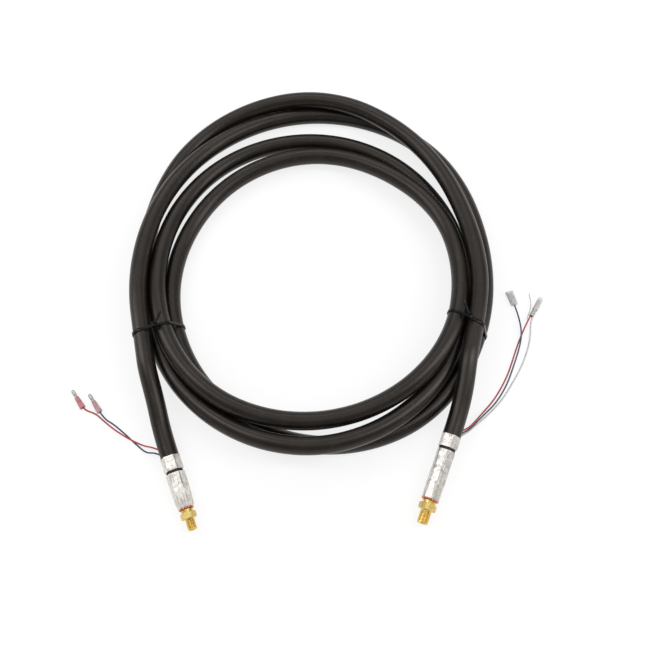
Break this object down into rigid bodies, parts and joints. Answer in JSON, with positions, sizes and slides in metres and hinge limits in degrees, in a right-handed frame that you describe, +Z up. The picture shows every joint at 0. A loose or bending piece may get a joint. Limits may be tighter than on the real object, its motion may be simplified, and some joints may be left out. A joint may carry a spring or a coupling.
{
  "type": "welding torch cable assembly",
  "caption": "Coaxial cable of a wire-feed welding torch, wound into a tied coil, with crimped threaded brass connectors and thin control wires with push-on terminals.",
  "frame": {"origin": "middle of the footprint of the coiled cable with its connectors, on the floor that it lies on; the control wires and their terminals aren't counted", "axes": "+Z up from the floor, +Y away from the two connectors, +X from the torch end to the machine end"},
  "size_m": [0.5377, 0.5423, 0.07],
  "materials": {
    "jacket": "satin black extruded jacket",
    "seal": "matt black",
    "copper": "bare copper strands",
    "hose": "plain tubing",
    "plated_steel": "satin plated, crimped",
    "brass": "machined",
    "nylon": "black nylon",
    "wire_red": "thin PVC insulation",
    "wire_dark_blue": "thin PVC insulation",
    "wire_grey_blue": "thin PVC insulation",
    "wire_white": "thin PVC insulation",
    "tinned_terminal": "tinned",
    "pink_sleeve": "translucent",
    "clear_sleeve": "translucent"
  },
  "bodies": {
    "cable": {"jacket_coil": "jacket", "jacket_tail_left": "jacket", "jacket_tail_right": "jacket", "copper_strands": "copper", "inner_hose": "hose", "collar_left": "plated_steel", "collar_right": "plated_steel", "gap_ring_left": "seal", "gap_ring_right": "seal", "crimp_sleeve_left": "plated_steel", "crimp_sleeve_right": "plated_steel", "strand_end_left": "copper", "strand_end_right": "copper", "connector_left": "brass", "connector_right": "brass", "cable_tie_left": "nylon", "cable_tie_right": "nylon", "wire_red_left": "wire_red", "wire_blue_left": "wire_dark_blue", "wire_red_right": "wire_red", "wire_blue_right": "wire_grey_blue", "wire_white_right": "wire_white", "bullet_red": "tinned_terminal", "bullet_sleeve_red": "pink_sleeve", "bullet_blue": "tinned_terminal", "bullet_sleeve_blue": "pink_sleeve", "spade_receptacle": "tinned_terminal", "bullet_receptacle": "tinned_terminal", "untrimmed_strand": "copper"},
    "boot": {"spade_boot": "clear_sleeve"},
    "socket_sleeve": {"bullet_receptacle_sleeve": "clear_sleeve"}
  },
  "joints": [
    {"name": "boot_slide", "type": "slide", "parent": "cable", "child": "boot", "axis": [0.2827, -0.9592, 0], "range_m": [0, 0.012]},
    {"name": "socket_sleeve_slide", "type": "slide", "parent": "cable", "child": "socket_sleeve", "axis": [-0.5157, -0.8568, 0], "range_m": [0, 0.009]}
  ]
}
